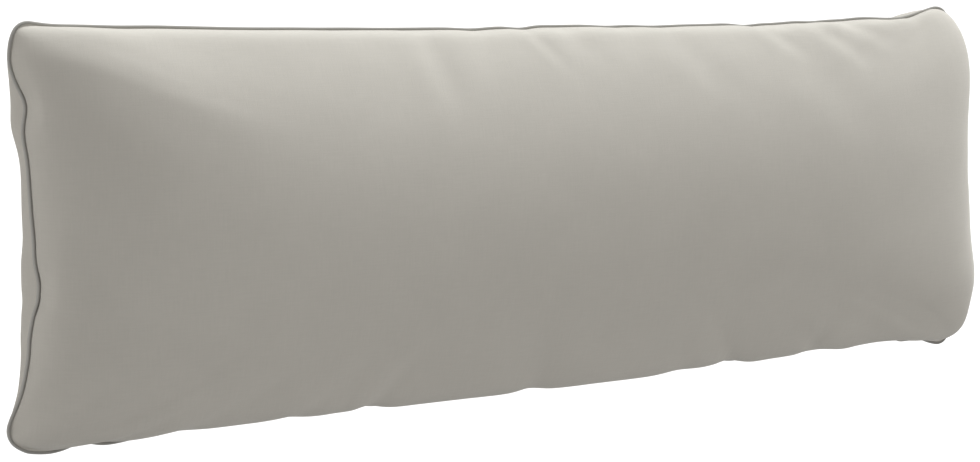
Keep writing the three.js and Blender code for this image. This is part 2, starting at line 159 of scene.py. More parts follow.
# Places where a panel swells more past the seam, or less where it is negative: the panel, the
# side, the place along it, the half width and the swell
SWELL_COLUMNS = ("panel", "side", "at", "width", "swell")
SWELLS = [dict(zip(SWELL_COLUMNS, row)) for row in (
    (FRONT, "right", 205, 38, 5),
    (FRONT, "top", -15, 25, -1.5),
    (FRONT, "top", 365, 30, -2),
    (FRONT, "top", 640, 200, 2),
    (FRONT, "top", 640, 60, -3),
    (FRONT, "top", 712, 40, 9),
    (FRONT, "bottom", -672, 26, -9),
    (FRONT, "bottom", -600, 120, -2),
    (BACK, "left", 175, 20, -3),
    (BACK, "left", 154, 16, 2),
    (BACK, "left", 146, 32, 10),
    (BACK, "left", 40, 60, 1.5),
    (BACK, "left", -50, 30, 6),
    (BACK, "left", -100, 18, -2),
    (BACK, "left", -135, 18, 2),
    (BACK, "left", -185, 40, -4),
    (BACK, "top", 650, 40, -12),
    (BACK, "top", 718, 26, 18),
)]

# Tucks where the seam gathers the cloth: the side, the place along it and the half width, the
# pull on the seam, the trough's depth in the panels, how far it runs from the seam, and its
# step along the side for each step away from the seam
TUCK_COLUMNS = ("side", "at", "width", "draw_in", "depth", "reach", "lean")
TUCKS = [dict(zip(TUCK_COLUMNS, row)) for row in (
    ("left", 152, 28, 19, 4, 110, 0.2),
    ("left", 75, 45, -4, 0, 100, 0),
    ("left", -59, 28, 13, 5, 130, -0.1),
    ("left", -100, 40, 3, 0, 100, 0),
    ("right", 60, 34, 4, 3, 100, 0.1),
    ("right", -90, 34, 4, 2, 110, -0.1),
    ("top", -331, 40, 1, 2, 110, 0.1),
    ("top", -100, 30, 2, 4, 160, -0.3),
    ("top", -21, 22, 3, 3, 150, 0.9),
    ("top", 192, 40, 2, 2, 110, 0.2),
    ("top", 358, 24, 3, 4, 150, 0.9),
    ("top", 480, 26, 2, 4, 170, 1.1),
    ("top", 628, 26, 3, 4, 130, 1.0),
    ("top", 668, 26, 1.8, 0, 100, 0),
    ("top", 680, 40, 4, 0, 100, 0),
    ("top", 718, 20, 1.5, 0, 100, 0),
    ("bottom", -734, 14, 4, 0, 100, 0),
    ("bottom", -694, 24, -4, 0, 100, 0),
    ("bottom", -650, 18, 5, 4, 120, 0.1),
    ("bottom", -612, 24, -0.8, 0, 100, 0),
    ("bottom", -545, 26, 2, 4, 140, 0),
    ("bottom", -405, 24, 3, 5, 140, 0.1),
    ("bottom", -278, 22, 4, 9, 160, -0.2),
    ("bottom", -24, 20, 2, 7, 160, -0.2),
    ("bottom", 224, 26, 2, 4, 140, -0.2),
    ("bottom", 298, 22, 4, 8, 150, 0.1),
    ("bottom", 445, 22, 3, 6, 160, 0.4),
    ("bottom", 615, 34, 5, 3, 140, -0.6),
    ("bottom", 652, 12, -3, 0, 80, 0),
    ("bottom", 692, 14, 4, 3, 80, 0),
)]

# Puckers in the face, on the flat panel: where each starts and ends, its half width, and its
# depth, or its height where it is negative
PUCKER_COLUMNS = ("start", "end", "width", "depth")
PUCKERS = [dict(zip(PUCKER_COLUMNS, row)) for row in (
    ((-715, 252), (-500, 142), 30, -2.2),
    ((-208, 250), (-185, 140), 21, 1.4),
    ((-48, 250), (7, 184), 10, 0.8),
    ((165, 250), (300, 130), 22, 0.9),
    ((339, 250), (428, 192), 10, 1.1),
    ((410, 190), (530, 80), 28, 1.1),
    ((434, 250), (545, 176), 11, 1.5),
    ((502, 247), (592, 205), 9, 1.5),
    ((-332, -250), (-318, -170), 16, 0.9),
    ((424, -250), (466, -160), 12, 1.4),
)]
PUCKER_LIP = 0.4  # the raised lip along a pucker's lower side, as a share of its depth
LIP_PLACE = 1.7  # from the middle of the pucker to its lip, in half widths
PUCKER_START = 14  # how far from the seam the puckers reach their depth
PUCKER_RISE = (-0.2, 0.2)  # the shares of its length between which a pucker comes in
PUCKER_FADE = (0.4, 1.2)  # and those between which it fades out

# Places where the piping sinks in between the panels: the side, the place along it, the half
# width and the depth
SINK_COLUMNS = ("side", "at", "width", "depth")
SINKS = [dict(zip(SINK_COLUMNS, row)) for row in (
    ("top", 300, 420, 0.7),
    ("top", 745, 38, 2.4),
)]

# The filling: a cloth simulation under pressure, of which the folds are kept
FILL_PRESSURE = 4
FILL_FRAMES = 20
CLOTH_STIFFNESS = 80
CLOTH_BENDING = 5
RESTING = 0.5  # points lower than this rest on the floor, and stay
EVEN_SWELLING = 14  # folds are what it adds to a swelling evened over this many of its steps
FOLD_LIMIT = 5  # the most that the simulation moves a point
FOLD_REACH = (0.1, 0.5)  # the shares of the way from the spine to the seam where folds come in
EVENING_ROUNDS = 2  # how often the folds are evened over their neighbours

# Steps of the meshes
LONG_STEPS = 320
SHORT_STEPS = 96
CORNER_STEPS = 20
ROWS = 50  # of each panel, from the seam to the spine
ROW_CROWDING = 1.5  # how much closer the rows lie at the seam
PIPING_SIDES = 14
MEASURE_STEPS = 5000  # for the length of a section over the cloth
MEASURE_CROWDING = 3  # how much closer these steps lie at the seam
SPINE_DIGITS = 3  # spine points that agree to this many decimals are one vertex

# Derived sizes
HALF_LENGTH = LENGTH / 2
HALF_HEIGHT = HEIGHT / 2
SPINE_HALF = HALF_LENGTH - END_RISE  # the crown's level line, from the middle to either end
RIM_OFFSET = PIPING_RADIUS - FLANGE
SEAM_STEPS = 2 * (LONG_STEPS + SHORT_STEPS) + 4 * CORNER_STEPS
STEP_LENGTH = LENGTH / LONG_STEPS
CLOTH_MAP = "cloth"


def smooth_step(value, low, high):
    """0 up to low, 1 from high on, and a smooth rise between them."""
    share = np.clip((value - low) / (high - low), 0, 1)
    return share * share * (3 - 2 * share)


def side_shares(cut):
    """How much of each seam point belongs to each side, adding up to 1."""
    x, y = cut[:, 0], cut[:, 1]
    from_end = HALF_LENGTH - np.abs(x)
    from_edge = HALF_HEIGHT - np.abs(y)
    end = smooth_step((from_edge - from_end) / SIDE_BLEND, -1, 1)
    return {
        "left": np.where(x < 0, end, 0),
        "right": np.where(x < 0, 0, end),
        "bottom": np.where(y < 0, 1 - end, 0),
        "top": np.where(y < 0, 0, 1 - end),
    }


def along_side(side, points):
    """How far along a side points lie: x for the long sides, and y for the ends."""
    return points[..., 0] if side in LONG_SIDES else points[..., 1]


def hump(row, along):
    """A rounded hump along a side: 1 at a row's place, and nothing a few widths away."""
    return np.exp(-(((along - row["at"]) / row["width"]) ** 2))


def tuck_share(tuck, cut, shares, distance):
    """How strongly a tuck acts at each seam point, on the cloth that lies away from it by distance."""
    along = along_side(tuck["side"], cut)[:, None]
    return shares[tuck["side"]][:, None] * hump(tuck, along - tuck["lean"] * distance)


def side_dips(side, share, along):
    """How far a side's dips pull it in at places along it.

    The share gives the same places, from -1 at one corner to 1 at the other.
    """
    dipped = sum(dip["draw_in"] * hump(dip, along) for dip in DIPS if dip["side"] == side)
    return (1 - np.abs(share) ** CORNER_HOLD) * dipped


def drawn_in(flat):
    """Where points of the flat panels go in plan once the filling draws the sides in."""
    x, y = flat[..., 0], flat[..., 1]
    along_length = x / HALF_LENGTH
    along_height = y / HALF_HEIGHT
    toward = {
        "left": (1 - along_length) / 2,
        "right": (1 + along_length) / 2,
        "bottom": (1 - along_height) / 2,
        "top": (1 + along_height) / 2,
    }
    pull = {}
    for side, share in toward.items():
        lengthwise = side in LONG_SIDES
        place = along_length if lengthwise else along_height
        even = share * SIDES[side]["draw_in"] * (1 - np.abs(place) ** DRAW_POWER)
        from_side = (1 - share) * (HEIGHT if lengthwise else LENGTH)
        dips = side_dips(side, place, along_side(side, flat))
        pull[side] = even + np.exp(-from_side / DIP_SPREAD) * dips
    drawn_x = (x - along_length * (pull["left"] + pull["right"])) * (1 - TAPER * along_height)
    drawn_y = y - along_height * (pull["bottom"] + pull["top"])
    return np.stack([drawn_x, drawn_y], axis=-1)


def cut_outline():
    """The outline that the panels are cut to, from the middle of the top edge and clockwise."""

    def line(start, end, steps):
        share = np.linspace(0, 1, steps, endpoint=False)[:, None]
        return (1 - share) * np.array(start) + share * np.array(end)

    def arc(corner, start_angle):
        radius = CORNERS[corner]["radius"]
        centre = (corner[0] * (HALF_LENGTH - radius), corner[1] * (HALF_HEIGHT - radius))
        angles = np.radians(start_angle - 90 * np.linspace(0, 1, CORNER_STEPS, endpoint=False))
        return np.array(centre) + radius * np.stack([np.cos(angles), np.sin(angles)], axis=1)

    def on_edge(corner):
        return corner[0] * (HALF_LENGTH - CORNERS[corner]["radius"]), corner[1] * HALF_HEIGHT

    def on_end(corner):
        return corner[0] * HALF_LENGTH, corner[1] * (HALF_HEIGHT - CORNERS[corner]["radius"])

    top_left, top_right, bottom_right, bottom_left = CORNERS
    return np.concatenate([
        line((0, HALF_HEIGHT), on_edge(top_right), LONG_STEPS // 2),
        arc(top_right, 90),
        line(on_end(top_right), on_end(bottom_right), SHORT_STEPS),
        arc(bottom_right, 0),
        line(on_edge(bottom_right), on_edge(bottom_left), LONG_STEPS),
        arc(bottom_left, -90),
        line(on_end(bottom_left), on_end(top_left), SHORT_STEPS),
        arc(top_left, 180),
        line(on_edge(top_left), (0, HALF_HEIGHT), LONG_STEPS // 2),
    ])


def seam_line(cut, shares):
    """The seam in plan: the drawn-in outline with the tucks' pull."""
    seam = drawn_in(cut)
    at_seam = np.zeros((len(cut), 1))
    for tuck in TUCKS:
        pull = tuck["draw_in"] * tuck_share(tuck, cut, shares, at_seam)[:, 0]
        axis = 1 if tuck["side"] in LONG_SIDES else 0
        seam[:, axis] -= np.sign(cut[:, axis]) * pull
    return seam


def outward_of(seam):
    """The way out of the cushion at each point of the seam, in plan."""
    along = np.roll(seam, -1, axis=0) - np.roll(seam, 1, axis=0)
    along /= np.linalg.norm(along, axis=1)[:, None]
    return np.stack([-along[:, 1], along[:, 0]], axis=1)


def spine_points():
    """The point of the crown's level line that each seam step's section runs to, in plan."""
    half_round = SEAM_STEPS // 2
    spine_steps = round(SPINE_HALF / STEP_LENGTH)
    step = np.arange(SEAM_STEPS)
    from_top = np.where(step <= half_round, step, SEAM_STEPS - step)
    along = np.minimum(np.minimum(from_top, half_round - from_top), spine_steps) / spine_steps
    x = np.where(step <= half_round, 1, -1) * SPINE_HALF * along
    return np.stack([x, np.zeros(SEAM_STEPS)], axis=1)


def end_section(x, panel):
    """The height of a panel's lengthwise section: 1 along the spine, and 0 at the cushion's ends."""
    share = np.clip((np.abs(x) - SPINE_HALF) / END_RISE, 0, 1)
    power = np.where(x < 0, ENDS["left"][panel][0], ENDS["right"][panel][0])
    fullness = np.where(x < 0, ENDS["left"][panel][1], ENDS["right"][panel][1])
    return (1 - share ** power) ** (1 / fullness)


def top_dome(share):
    """The dome over the upper half: round, then straight down to the seam."""
    slope = 2 * DOME_POWER * TOP_STRAIGHT * (1 - TOP_STRAIGHT ** 2) ** (DOME_POWER - 1)
    over_seam = (1 - TOP_STRAIGHT ** 2) ** DOME_POWER - slope * (1 - TOP_STRAIGHT)
    height = (1 - np.minimum(share, TOP_STRAIGHT) ** 2) ** DOME_POWER
    height = height - slope * np.maximum(0, share - TOP_STRAIGHT)
    return (height - over_seam) / (1 - over_seam)


def edge_section(x, y):
    """The height of the upright section: 1 on the spine and 0 at the long edges."""
    share = np.clip(np.abs(y) / HALF_HEIGHT, 0, 1)
    wall = 1 - np.exp(-HALF_HEIGHT * (1 - share) / np.where(y > 0, TOP_REACH, BOTTOM_REACH))
    dome = np.where(y > 0, top_dome(share), (1 - share ** 2) ** DOME_POWER)
    top_wall = TOP_WALL - WALL_DROP["drop"] * hump(WALL_DROP, x)
    return dome + (wall - dome) * np.where(y > 0, top_wall, BOTTOM_WALL) / FRONT_CROWN


def row_places():
    """How far out each row of a panel lies, 1 at the seam and 0 on the spine, spaced over the cloth."""
    out = 1 - np.linspace(0, 1, MEASURE_STEPS) ** MEASURE_CROWDING
    rise = FRONT_CROWN * edge_section(0, HALF_HEIGHT * out)
    run = HALF_HEIGHT * (1 - out)
    over = np.concatenate([[0], np.cumsum(np.hypot(np.diff(run), np.diff(rise)))])
    wanted = over[-1] * np.linspace(0, 1, ROWS + 1) ** ROW_CROWDING
    return np.interp(wanted, over, out)


def corner_share(flat):
    """How near a corner points of the flat panels are: 1 at the plain rectangle's, 0 on the spine."""
    end = np.clip((np.abs(flat[..., 0]) - SPINE_HALF) / END_RISE, 0, 1)
    return end * np.clip(np.abs(flat[..., 1]) / HALF_HEIGHT, 0, 1)


def corner_values(flat, name):
    """One of the corners' values at points of the flat panels, blended from corner to corner."""
    right = smooth_step(flat[..., 0], -CORNER_BLEND, CORNER_BLEND)
    upper = smooth_step(flat[..., 1], -CORNER_BLEND, CORNER_BLEND)
    blended = 0
    for (x_sign, y_sign), values in CORNERS.items():
        share = (right if x_sign > 0 else 1 - right) * (upper if y_sign > 0 else 1 - upper)
        blended = blended + share * values[name]
    return blended


def hip_of(flat, panel):
    """How sharply the end and edge sections meet at points of a flat panel, and least on the back."""
    if panel == BACK:
        return LEAST_HIP
    return np.maximum(LEAST_HIP, corner_values(flat, "hip") * (1 - corner_share(flat) ** HIP_FADE))


def sections_joined(flat, panel):
    """A panel's two sections through points of it, joined: 1 on the spine, 0 on the plain rectangle."""
    end = np.maximum(TINY, end_section(flat[..., 0], panel))
    edge = np.maximum(TINY, edge_section(flat[..., 0], flat[..., 1]))
    hip = hip_of(flat, panel)
    return (end ** -hip + edge ** -hip - 1) ** (-1 / hip)


def crown_share(flat, panel):
    """How high points of a flat panel stand on the crown: 1 on the spine and 0 at the seam."""
    drop = 0
    for corner, values in CORNERS.items():
        inset = values["radius"] * (1 - math.sqrt(0.5))
        tip = np.array([corner[0] * (HALF_LENGTH - inset), corner[1] * (HALF_HEIGHT - inset)])
        here = (np.sign(flat[..., 0]) == corner[0]) & (np.sign(flat[..., 1]) == corner[1])
        tip_drop = sections_joined(tip, panel) / corner_share(tip) ** CORNER_POWER
        drop = drop + np.where(here, tip_drop, 0)
    return np.maximum(0, sections_joined(flat, panel) - drop * corner_share(flat) ** CORNER_POWER)


def pressed_flat(height):
    """Heights that never go below the floor, and leave it in a soft curve."""
    soft = np.maximum(height + PRESS_SOFTNESS, 0)
    return np.where(height >= PRESS_SOFTNESS, height, soft * soft / (4 * PRESS_SOFTNESS))


def swell_share(distance):
    """How much of its swell a panel has at a distance from the seam.

    It has none by the piping, all of it at the swell's reach, and less again farther in.
    """
    reach = np.maximum(0, distance - PIPING_RADIUS) / SWELL_REACH
    return reach * np.exp((1 - reach * reach) / 2)


def evened(values, steps):
    """Values for each seam step and row, evened along the seam over each row's number of steps."""
    waves = np.fft.fftfreq(len(values))[:, None]
    kept = np.exp(-2 * (math.pi * waves * steps[None, :]) ** 2)
    return np.fft.ifft(np.fft.fft(values, axis=0) * kept[..., None], axis=0).real


class Seam:
    """What the pieces share at each step: the cut outline, the seam, the way out and the spine."""

    def __init__(self):
        self.cut = cut_outline()
        self.shares = side_shares(self.cut)
        self.line = seam_line(self.cut, self.shares)
        self.outward = outward_of(self.line)
        self.spine = spine_points()
        from_end = HALF_LENGTH - np.abs(self.cut[:, 0])
        from_edge = HALF_HEIGHT - np.abs(self.cut[:, 1])
        near_corner = 1 - smooth_step(np.maximum(from_end, from_edge), 0, CORNER_REACH)
        held = 0
        for corner, values in CORNERS.items():
            held = held + values["held"] * np.all(np.sign(self.cut) == corner, axis=1)
        self.clear_of_corner = 1 - held * near_corner

    def swell(self, panel):
        """How far and which way a panel swells past the seam at each step, in plan."""
        column = "front_swell" if panel == FRONT else "back_swell"
        blended = sum(share * SIDES[name][column] for name, share in self.shares.items())
        for row in SWELLS:
            if row["panel"] == panel:
                along = along_side(row["side"], self.cut)
                blended = blended + row["swell"] * self.shares[row["side"]] * hump(row, along)
        return (self.clear_of_corner * blended)[:, None] * self.outward

    def sunk(self):
        """How deep the piping sinks in between the panels at each step."""
        depth = np.zeros(len(self.cut))
        for row in SINKS:
            along = along_side(row["side"], self.cut)
            depth += row["depth"] * self.shares[row["side"]] * hump(row, along)
        return depth


def flat_places(seam, places):
    """Where a panel's points lie on it before it is filled, a row of them for each seam step."""
    spine = seam.spine[:, None, :]
    return spine + (seam.cut[:, None, :] - spine) * places[None, :, None]


def pucker_height(flat):
    """How far the puckers lift the face at points of the flat panel, or press it in where negative."""
    height = np.zeros(flat.shape[:2])
    for pucker in PUCKERS:
        start = np.array(pucker["start"])
        way = np.array(pucker["end"]) - start
        length = np.linalg.norm(way)
        way = way / length
        along = (flat - start) @ way / length
        across = (flat - start) @ np.array([way[1], -way[0]]) / pucker["width"]
        fade = smooth_step(along, *PUCKER_RISE) * (1 - smooth_step(along, *PUCKER_FADE))
        furrow = np.exp(-across ** 2) - PUCKER_LIP * np.exp(-(across - LIP_PLACE) ** 2)
        height -= pucker["depth"] * fade * furrow
    return height


def surface_ways(points):
    """The way out of the cloth at each point of the front panel."""
    along = np.roll(points, -1, axis=0) - np.roll(points, 1, axis=0)
    inward = np.gradient(points, axis=1)
    way = np.cross(inward, along)
    return way / np.maximum(TINY, np.linalg.norm(way, axis=2))[..., None]


def puckered(seam, places, points):
    """The front panel with its puckers pressed in, none of them at the seam itself."""
    from_rim = np.linalg.norm(points - points[:, :1], axis=2)
    clear = smooth_step(from_rim, PIPING_RADIUS, PUCKER_START)
    height = pucker_height(flat_places(seam, places)) * clear
    return points + height[..., None] * surface_ways(points)


def tuck_troughs(seam, distance):
    """How deep the tucks' troughs are on the cloth that lies away from the seam by distance."""
    depth = np.zeros_like(distance)
    for tuck in TUCKS:
        fade = np.maximum(0, 1 - distance / tuck["reach"]) ** 2
        depth += tuck["depth"] * fade * tuck_share(tuck, seam.cut, seam.shares, distance)
    return depth


def panel_points(seam, places, panel):
    """A panel's points, a row of them for each seam step, from the seam to the spine."""
    crown = FRONT_CROWN if panel == FRONT else BACK_CROWN
    flat = flat_places(seam, places)
    full_rise = crown_share(flat, panel)
    inward = np.linalg.norm(flat - seam.cut[:, None, :], axis=2)
    steps = np.hypot(inward, full_rise * crown).mean(axis=0) / STEP_LENGTH
    rim_rise = evened(crown_share(seam.cut, panel)[:, None, None], steps)[..., 0]
    rise = np.maximum(0, full_rise - rim_rise * places[None, :] ** CORNER_POWER)
    distance = np.hypot(inward, rise * crown)
    hold = 1 - smooth_step(distance, 2 * PIPING_RADIUS, TUCK_SPREAD)
    rim = seam.line - RIM_OFFSET * seam.outward
    plan = drawn_in(flat) + hold[..., None] * (rim - drawn_in(seam.cut))[:, None, :]

    dip = tuck_troughs(seam, distance) * (1 - hold)
    lean_out = places[None, :]
    swell = evened(seam.swell(panel)[:, None, :], steps)
    plan += (lean_out * swell_share(distance))[..., None] * swell
    plan -= (dip * lean_out)[..., None] * seam.outward[:, None, :]
    steep = np.sqrt(1 - lean_out ** 2)
    height = SEAM_LEVEL + panel * (LIP + (crown - LIP) * rise - dip * steep)
    if panel == BACK:
        height = pressed_flat(height)
    return np.concatenate([plan, height[..., None]], axis=2)


def cover_layout(spine, rows):
    """Where the panels' points are among the cover's vertices, its faces, and its vertex count."""
    different, number = np.unique(np.round(spine, SPINE_DIGITS), axis=0, return_inverse=True)
    steps = len(spine)
    panel_size = steps * rows + len(different)
    grid = np.empty((2, steps, rows + 1), dtype=int)
    for index in range(2):
        first = index * panel_size
        grid[index, :, :rows] = first + np.arange(steps * rows).reshape(steps, rows)
        grid[index, :, rows] = first + steps * rows + number.reshape(-1)

    faces = []
    following = np.roll(grid, -1, axis=1)
    for index in range(2):
        here, there = grid[index], following[index]
        quads = np.stack([here[:, :-1], here[:, 1:], there[:, 1:], there[:, :-1]], axis=2)
        quads = quads.reshape(-1, 4)
        if index == 1:
            quads = quads[:, ::-1]
        faces += [tuple(dict.fromkeys(quad)) for quad in quads.tolist()]
    lip = np.stack([grid[1, :, 0], following[1, :, 0], following[0, :, 0], grid[0, :, 0]], axis=1)
    faces += [tuple(quad) for quad in lip.tolist()]
    return grid, faces, 2 * panel_size


def make_mesh(name, vertices, faces, flat):
    """A smooth-shaded mesh object from points in millimetres, with their places on the flat cloth."""
    mesh = bpy.data.meshes.new(name)
    mesh.from_pydata((np.asarray(vertices) * MM).tolist(), [], faces)
    mesh.polygons.foreach_set("use_smooth", np.ones(len(mesh.polygons), dtype=bool))
    corner_vertices = np.empty(len(mesh.loops), dtype=int)
    mesh.loops.foreach_get("vertex_index", corner_vertices)
    cloth_map = mesh.uv_layers.new(name=CLOTH_MAP)
    cloth_map.data.foreach_set("uv", (np.asarray(flat) * MM)[corner_vertices].ravel())
    mesh.update()
    piece = bpy.data.objects.new(name, mesh)
    bpy.context.scene.collection.objects.link(piece)
    return piece


def frame_shift(seam):
    """From the seam's own middle to the part's origin: the piping ends where its solid does."""
    low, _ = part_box("piping")
    reach_low = seam.line.min(axis=0) - PIPING_RADIUS
    return np.array([low.x / MM - reach_low[0], low.y / MM - reach_low[1], 0])


def cloth_places(seam, points):
    """Where a panel's points lie on its cloth: as far from the spine as they are over the cloth."""
    lengths = np.linalg.norm(np.diff(points, axis=1), axis=2)
    from_spine = np.zeros(points.shape[:2])
    from_spine[:, :-1] = np.cumsum(lengths[:, ::-1], axis=1)[:, ::-1]
    way = seam.cut - seam.spine
    way /= np.linalg.norm(way, axis=1)[:, None]
    return seam.spine[:, None, :] + from_spine[..., None] * way[:, None, :]


def blown_up(start, faces, held):
    """Where a cloth simulation under pressure moves the points of a closed cover, some of them held."""
    piece = make_mesh("blown_up_copy", start, faces, start[:, :2])
    piece.vertex_groups.new(name="held").add(held, 1, "REPLACE")
    cloth = piece.modifiers.new("filling", "CLOTH")
    settings = cloth.settings
    settings.vertex_group_mass = "held"
    settings.use_pressure = True
    settings.uniform_pressure_force = FILL_PRESSURE
    settings.tension_stiffness = CLOTH_STIFFNESS
    settings.compression_stiffness = CLOTH_STIFFNESS
    settings.bending_stiffness = CLOTH_BENDING
    settings.effector_weights.gravity = 0
    cloth.point_cache.frame_end = FILL_FRAMES
    for step in range(1, FILL_FRAMES + 1):
        bpy.context.scene.frame_set(step)
    bpy.context.view_layer.objects.active = piece
    bpy.ops.object.modifier_apply(modifier=cloth.name)
    moved = np.empty(start.size)
    piece.data.vertices.foreach_get("co", moved)
    bpy.data.meshes.remove(piece.data)
    return moved.reshape(-1, 3) / MM


def between(values):
    """Values for each seam step and row at twice the fineness, evened over their neighbours."""
    halfway = (values + np.roll(values, -1, axis=0)) / 2
    along = np.stack([values, halfway], axis=1).reshape(-1, *values.shape[1:])
    fine = np.repeat(along, 2, axis=1)[:, :-1]
    fine[:, 1::2] = (along[:, :-1] + along[:, 1:]) / 2
    for _ in range(EVENING_ROUNDS):
        fine = (np.roll(fine, 1, axis=0) + 2 * fine + np.roll(fine, -1, axis=0)) / 4
        fine[:, 1:-1] = (fine[:, :-2] + 2 * fine[:, 1:-1] + fine[:, 2:]) / 4
    return fine


def filled(seam, places, panels):
    """The panels with the folds of a cloth simulation, which runs on every second step and row."""
    grid, faces, count = cover_layout(seam.spine[::2], ROWS // 2)
    start = np.zeros((count, 3))
    for index, points in enumerate(panels):
        start[grid[index]] = points[::2, ::2]
    held = start[:, 2] < RESTING
    held[grid[:, :, 0]] = True
    moved = blown_up(start, faces, np.flatnonzero(held).tolist()) - start
    corner_folds = corner_values(flat_places(seam, places), "folds")
    kept = corner_folds * smooth_step(places, *FOLD_REACH)[None, :]
    result = []
    for index, points in enumerate(panels):
        way = moved[grid[index]]
        folds = way - evened(way, np.full(way.shape[1], EVEN_SWELLING))
        size = np.linalg.norm(folds, axis=2)[..., None]
        folds = folds * FOLD_LIMIT * np.tanh(size / FOLD_LIMIT) / np.maximum(TINY, size)
        points = points + kept[..., None] * between(folds)
        points[..., 2] = np.maximum(0, points[..., 2])
        result.append(points)
    return result


def make_cover(seam, shift):
    """The filled cover, with both panels and the lip between them at the seam."""
    places = row_places()
    grid, faces, count = cover_layout(seam.spine, ROWS)
    vertices = np.zeros((count, 3))
    flat = np.zeros((count, 2))
    panels = [panel_points(seam, places, panel) for panel in (FRONT, BACK)]
    panels = filled(seam, places, panels)
    panels[0] = puckered(seam, places, panels[0])
    for index, points in enumerate(panels):
        vertices[grid[index]] = points + shift
        flat[grid[index]] = cloth_places(seam, points)
    return make_mesh("filled_cover", vertices, faces, flat)


def make_piping(seam, shift):
    """The piping: a cord in a strip of the cover's cloth, all round the seam."""
    angles = np.linspace(0, 2 * math.pi, PIPING_SIDES, endpoint=False)
    out = PIPING_RADIUS * np.cos(angles)[None, :] - seam.sunk()[:, None]
    plan = seam.line[:, None, :] + out[..., None] * seam.outward[:, None, :]
    height = np.broadcast_to(SEAM_LEVEL + PIPING_RADIUS * np.sin(angles), plan.shape[:2])
    vertices = np.concatenate([plan, height[..., None]], axis=2).reshape(-1, 3) + shift
    steps = len(seam.line)
    number = np.arange(steps * PIPING_SIDES).reshape(steps, PIPING_SIDES)
    ahead = np.roll(number, -1, axis=0)
    quads = np.stack([number, np.roll(number, -1, axis=1), np.roll(ahead, -1, axis=1), ahead], axis=2)
    along = np.broadcast_to(np.arange(steps)[:, None] * STEP_LENGTH, number.shape)
    around = np.broadcast_to(angles[None, :] * PIPING_RADIUS, number.shape)
    flat = np.stack([along, around], axis=2).reshape(-1, 2)
    return make_mesh("seam_piping", vertices, quads.reshape(-1, 4).tolist(), flat)


# Cloth
COVER_COLOUR = (0.475, 0.45, 0.403)
# The piping is the cover's cloth; its colour is darker than the cover's as painted shade, standing in
# for the shade on the piping and in its crease
PIPING_PAINTED_SHADE_COLOUR = (0.39, 0.378, 0.35)
PIPING_BIAS = 45  # the piping's strip is cut at this angle to the weave
THREAD = 0.8  # from one thread to the next
WEAVE_RELIEF = 0.05
SLUB_RELIEF = 0.08
SLUB_LENGTH = 30
SLUB_WIDTH = 1.6
SLUB_DETAIL = 2
TONE_SIZE = 90
TONE_DETAIL = 4
NOISE_RANGE = (0.25, 0.75)  # nearly all of a noise lies between these
SHADE_RANGE = (0.98, 1.02)  # how much the tone and the slubs each darken or lighten the cloth
CLOTH_ROUGHNESS = 0.9
ROUGHNESS_CHANGE = 0.05  # by the slubs
CLOTH_SPECULAR = 0.25
CLOTH_SHEEN = 0.12
SHEEN_ROUGHNESS = 0.45


class Nodes:
    """A material's nodes, with short ways to add and link them."""

    def __init__(self, material):
        self.tree = material.node_tree

    def add(self, kind, **settings):
        """A new node with its settings."""
        node = self.tree.nodes.new(kind)
        for name, value in settings.items():
            setattr(node, name, value)
        return node

    def feed(self, node, inputs):
        """Links a node's inputs to sockets, or sets them where they are plain values."""
        for name, value in inputs.items():
            socket = node.inputs[name]
            if isinstance(value, bpy.types.NodeSocket):
                self.tree.links.new(value, socket)
            else:
                socket.default_value = value

    def math(self, operation, first, second=0.0):
        """One step of arithmetic."""
        node = self.add("ShaderNodeMath", operation=operation)
        self.feed(node, {0: first, 1: second})
        return node.outputs[0]

    def noise(self, place, x_size, y_size, detail):
        """A noise whose grains have a size each way."""
        grains = self.add("ShaderNodeMapping")
        self.feed(grains, {"Vector": place, "Scale": (1 / (x_size * MM), 1 / (y_size * MM), 1)})
        node = self.add("ShaderNodeTexNoise")
        self.feed(node, {"Vector": grains.outputs["Vector"], "Scale": 1, "Detail": detail})
        return node.outputs["Fac"]

    def spread(self, value, low, high):
        """A noise spread from low to high."""
        node = self.add("ShaderNodeMapRange")
        noise_low, noise_high = NOISE_RANGE
        self.feed(node, {"Value": value, "From Min": noise_low, "From Max": noise_high})
        self.feed(node, {"To Min": low, "To Max": high})
        return node.outputs["Result"]


def weave_height(nodes, place):
    """A plain weave's relief, from 0 to 1: threads that pass over and under each other."""
    parts = nodes.add("ShaderNodeSeparateXYZ")
    nodes.feed(parts, {"Vector": place})
    turn = math.pi / (THREAD * MM)
    warp = nodes.math("SINE", nodes.math("MULTIPLY", parts.outputs["X"], turn))
    weft = nodes.math("SINE", nodes.math("MULTIPLY", parts.outputs["Y"], turn))
    warp_over = nodes.math("GREATER_THAN", nodes.math("MULTIPLY", warp, weft), 0.0)
    weft_over = nodes.math("SUBTRACT", 1.0, warp_over)
    warp_height = nodes.math("MULTIPLY", nodes.math("ABSOLUTE", warp), warp_over)
    weft_height = nodes.math("MULTIPLY", nodes.math("ABSOLUTE", weft), weft_over)
    return nodes.math("ADD", warp_height, weft_height)


